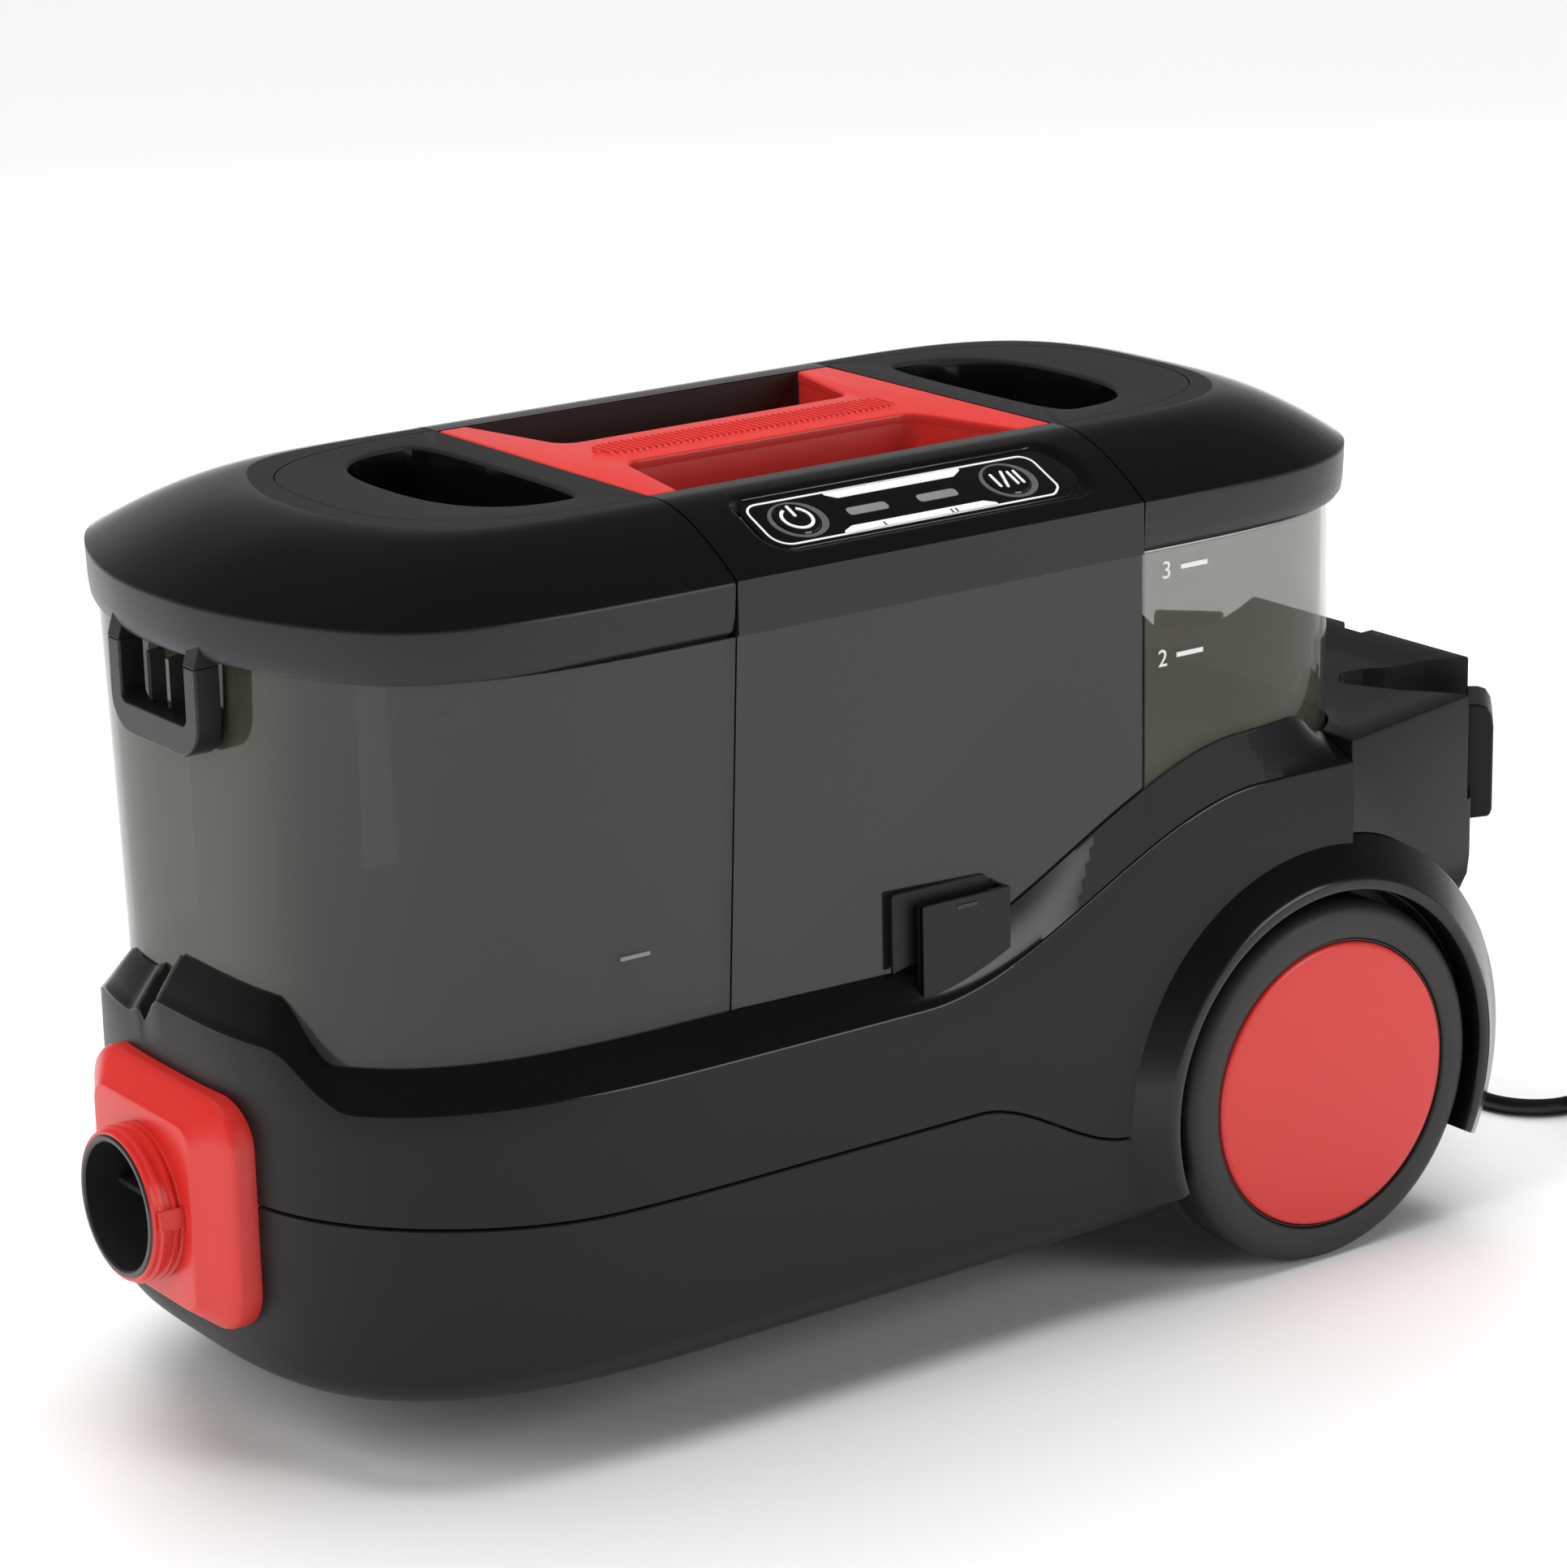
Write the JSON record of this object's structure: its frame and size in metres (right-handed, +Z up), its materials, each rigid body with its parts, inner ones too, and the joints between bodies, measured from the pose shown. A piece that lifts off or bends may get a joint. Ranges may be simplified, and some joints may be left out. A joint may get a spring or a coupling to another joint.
{
  "type": "carpet cleaner machine",
  "caption": "Wheeled canister carpet cleaner with lift-off dirty and clean water tanks, top carry handle, control panel, front hose port and coiled mains cord.",
  "frame": {"origin": "on the floor, under the middle of the machine without its cord", "axes": "+X towards the rear caddy and wheels, the hose port faces -X, +Z up, the machine is mirrored about Y = 0 apart from its panel, clip and cord"},
  "size_m": [0.7575, 0.3186, 0.342],
  "materials": {
    "base_satin": "satin moulded plastic",
    "shell_gloss": "polished black",
    "band_satin": "satin",
    "insert_matte": "fine matte texture",
    "side_gloss": "semi gloss",
    "red_gloss": "satin gloss red",
    "black_matte": "matte",
    "tank_smoke": "smoky transparent plastic",
    "clear_frost": "frosted",
    "white_plastic": "smooth",
    "rubber_black": "matte",
    "tyre_black": "matte",
    "steel": "zinc plated",
    "motor_case": "drawn",
    "copper_wind": "enamelled winding",
    "pcb_green": "solder mask",
    "cord_black": "smooth sheath"
  },
  "bodies": {
    "root": {"base_pan": "base_satin", "base_upper": "base_satin", "skid_pads": "rubber_black", "casing_screws": "steel", "rear_axle": "steel", "axle_clips": "steel", "hose_bezel": "red_gloss", "hose_collar": "red_gloss", "hose_socket": "black_matte", "water_coupler": "black_matte", "suction_duct": "black_matte", "mid_casing": "side_gloss", "mid_band": "band_satin", "deck_cover": "shell_gloss", "carry_handle": "red_gloss", "panel_plate": "shell_gloss", "indicator_lenses": "clear_frost", "control_pcb": "pcb_green", "accessory_clip": "base_satin", "rear_caddy": "base_satin", "motor_housing": "motor_case", "motor_bearings": "steel", "motor_seat": "rubber_black", "intake_duct": "black_matte", "pump_body": "black_matte", "water_hoses": "clear_frost", "valve_receiver": "black_matte", "cord_gland": "rubber_black", "power_cord": "cord_black", "cord_coil": "cord_black", "plug": "rubber_black"},
    "wheel_left": {"wheel_left": "black_matte", "tyre_left": "tyre_black", "hubcap_left": "red_gloss"},
    "wheel_right": {"wheel_right": "black_matte", "tyre_right": "tyre_black", "hubcap_right": "red_gloss"},
    "caster_fork": {"caster_fork": "black_matte", "caster_axle": "steel"},
    "caster_wheel": {"caster_wheel": "tyre_black"},
    "power_button": {"power_button": "shell_gloss"},
    "mode_button": {"mode_button": "shell_gloss"},
    "motor_rotor": {"motor_rotor": "copper_wind", "motor_fan": "motor_case"},
    "pump_plunger": {"pump_plunger": "steel"},
    "front_tank": {"front_tank": "tank_smoke", "tank_riser": "black_matte"},
    "front_lid": {"front_lid": "band_satin", "front_lid_seal": "rubber_black", "front_lid_cover": "shell_gloss", "front_lid_insert": "insert_matte", "float_cage": "white_plastic"},
    "float_ball": {"float_ball": "white_plastic"},
    "lid_latch": {"lid_latch": "black_matte"},
    "rear_tank": {"rear_tank": "tank_smoke", "tank_valve": "black_matte"},
    "valve_stem": {"valve_stem": "steel"},
    "rear_lid": {"rear_lid": "band_satin", "rear_lid_cover": "shell_gloss", "rear_lid_insert": "insert_matte"}
  },
  "joints": [
    {"name": "wheel_left_spin", "type": "hinge", "parent": "root", "child": "wheel_left", "pos_m": [0.163, -0.1265, 0.074], "axis": [0, 1, 0], "continuous": true},
    {"name": "wheel_right_spin", "type": "hinge", "parent": "root", "child": "wheel_right", "pos_m": [0.163, 0.1265, 0.074], "axis": [0, 1, 0], "continuous": true},
    {"name": "caster_swivel", "type": "hinge", "parent": "root", "child": "caster_fork", "pos_m": [-0.147, 0, 0.04], "axis": [0, 0, 1], "continuous": true},
    {"name": "caster_roll", "type": "hinge", "parent": "caster_fork", "child": "caster_wheel", "pos_m": [-0.139, 0, 0.014], "axis": [0, 1, 0], "continuous": true},
    {"name": "power_press", "type": "slide", "parent": "root", "child": "power_button", "axis": [0, 0.4131, -0.9107], "range_m": [0, 0.0015], "stiffness_N_per_m": 400, "springref_m": -0.0005},
    {"name": "mode_press", "type": "slide", "parent": "root", "child": "mode_button", "axis": [0, 0.4131, -0.9107], "range_m": [0, 0.0015], "stiffness_N_per_m": 400, "springref_m": -0.0005},
    {"name": "motor_spin", "type": "hinge", "parent": "root", "child": "motor_rotor", "pos_m": [-0.016, 0, 0.2], "axis": [0, 0, 1], "continuous": true},
    {"name": "pump_stroke", "type": "slide", "parent": "root", "child": "pump_plunger", "axis": [1, 0, 0], "range_m": [-0.003, 0.003], "stiffness_N_per_m": 800},
    {"name": "front_tank_lift", "type": "slide", "parent": "root", "child": "front_tank", "axis": [0, 0, 1], "range_m": [0, 0.2]},
    {"name": "front_lid_lift", "type": "slide", "parent": "front_tank", "child": "front_lid", "axis": [0, 0, 1], "range_m": [0, 0.06]},
    {"name": "float_rise", "type": "slide", "parent": "front_lid", "child": "float_ball", "axis": [0, 0, 1], "range_m": [0, 0.015]},
    {"name": "latch_swing", "type": "hinge", "parent": "front_lid", "child": "lid_latch", "pos_m": [-0.271, 0, 0.3137], "axis": [0, 1, 0], "range_deg": [0, 95]},
    {"name": "rear_tank_lift", "type": "slide", "parent": "root", "child": "rear_tank", "axis": [0, 0, 1], "range_m": [0, 0.17]},
    {"name": "rear_lid_lift", "type": "slide", "parent": "rear_tank", "child": "rear_lid", "axis": [0, 0, 1], "range_m": [0, 0.05]},
    {"name": "valve_lift", "type": "slide", "parent": "rear_tank", "child": "valve_stem", "axis": [0, 0, 1], "range_m": [0, 0.003]}
  ]
}
